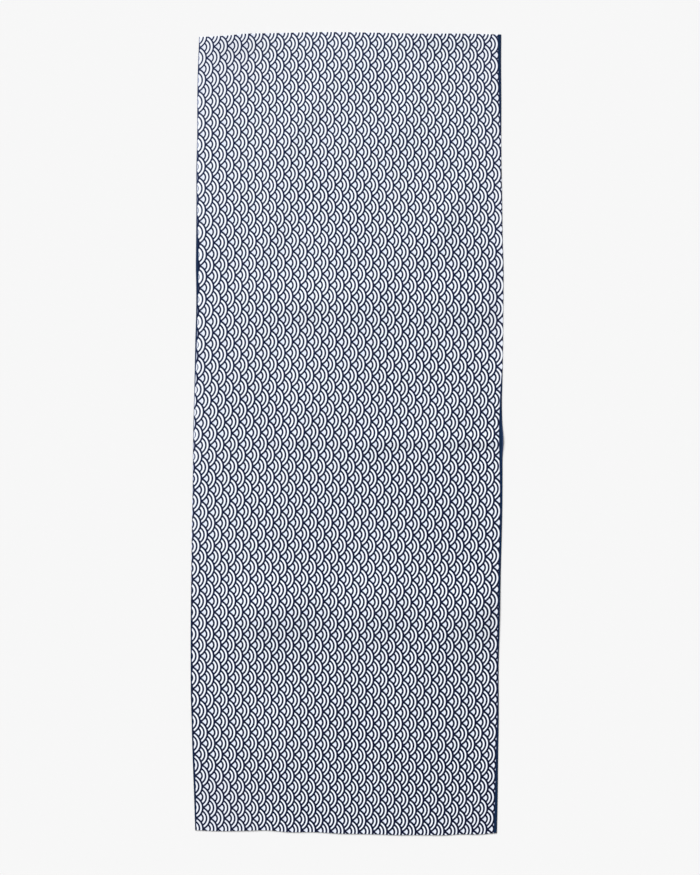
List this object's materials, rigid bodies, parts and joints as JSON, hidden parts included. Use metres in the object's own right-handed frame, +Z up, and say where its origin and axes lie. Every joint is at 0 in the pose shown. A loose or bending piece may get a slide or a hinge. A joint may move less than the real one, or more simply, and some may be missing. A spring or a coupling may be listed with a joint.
{
  "type": "tenugui towel",
  "caption": "Long narrow cotton hand cloth laid flat, with woven side edges, raw cut ends, soft creases and an all-over wave-scale print.",
  "frame": {"origin": "middle of the cloth's outline, on the surface that it lies on", "axes": "+X across the cloth, the way its wave scales face; +Y along it towards its upper end; +Z up, out of its printed face"},
  "size_m": [0.3516, 0.9046, 0.0039],
  "materials": {
    "dyed_cotton": "plain-woven cotton, white with a navy wave-scale print, matt"
  },
  "bodies": {
    "root": {"towel": "dyed_cotton"}
  },
  "joints": []
}
